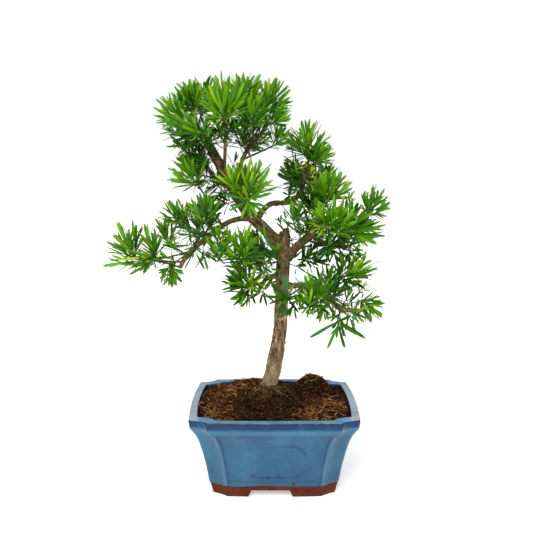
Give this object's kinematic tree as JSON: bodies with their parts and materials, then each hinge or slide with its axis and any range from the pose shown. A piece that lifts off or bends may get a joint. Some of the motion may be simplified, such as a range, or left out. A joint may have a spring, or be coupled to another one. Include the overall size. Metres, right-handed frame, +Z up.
{
  "type": "potted podocarpus bonsai",
  "caption": "Conifer bonsai with a leaning trunk, spreading boughs and separate pads of long narrow leaves, in a rectangular glazed pot with notched corners and feet.",
  "frame": {"origin": "middle of the whole outline seen from above, at the undersides of the pot's feet", "axes": "+Z up, +X along the pot's long side, towards the lower right boughs, +Y away from the front of the pot"},
  "size_m": [0.3508, 0.1826, 0.5097],
  "materials": {
    "glaze": "glossy blue glaze",
    "clay": "bare matt terracotta",
    "soil": "damp fibrous potting mix",
    "bark": "thin flaking bark",
    "leaves": "smooth leathery leaf"
  },
  "bodies": {
    "root": {"pot_body": "glaze", "pot_base": "clay", "soil": "soil", "trunk": "bark", "bough_left": "bark", "crown_branch_left": "bark", "crown_branch_middle": "bark", "crown_branch_right": "bark", "branch_right_upper": "bark", "arm_left": "bark", "bough_right": "bark", "bough_right_outer": "bark", "branch_low_right": "bark", "branch_low_left_upper": "bark", "branch_low_left": "bark", "leaves_crown_left_low": "leaves", "leaves_crown_left_top": "leaves", "leaves_crown_left_front": "leaves", "leaves_crown_under": "leaves", "leaves_crown_middle_front": "leaves", "leaves_crown_back_left": "leaves", "leaves_crown_right_top": "leaves", "leaves_crown_top": "leaves", "leaves_crown_right_front": "leaves", "leaves_crown_right_end": "leaves", "leaves_crown_right_twig": "leaves", "leaves_crown_back_right": "leaves", "leaves_under_crown_left": "leaves", "leaves_middle_front": "leaves", "leaves_middle_low_front": "leaves", "leaves_arm_top_inner": "leaves", "leaves_arm_top_outer": "leaves", "leaves_arm_root": "leaves", "leaves_arm_back": "leaves", "leaves_arm_outer_top": "leaves", "leaves_arm_tip": "leaves", "leaves_arm_tip_low": "leaves", "leaves_arm_outer_middle": "leaves", "leaves_arm_hanging": "leaves", "leaves_low_left_top": "leaves", "leaves_low_left_bottom": "leaves", "leaves_low_left_back": "leaves", "leaves_right_top": "leaves", "leaves_right_top_outer": "leaves", "leaves_right_dark": "leaves", "leaves_right_back_top": "leaves", "leaves_right_upper": "leaves", "leaves_right_core": "leaves", "leaves_right_front": "leaves", "leaves_right_twig": "leaves", "leaves_right_outer_top": "leaves", "leaves_right_outer_low": "leaves", "leaves_right_back": "leaves", "leaves_low_right_inner": "leaves", "leaves_low_right_upper": "leaves", "leaves_low_right_tip": "leaves", "leaves_hanging_whorl": "leaves", "leaves_low_right_middle": "leaves", "leaves_low_right_front": "leaves", "leaves_low_right_back": "leaves"}
  },
  "joints": []
}
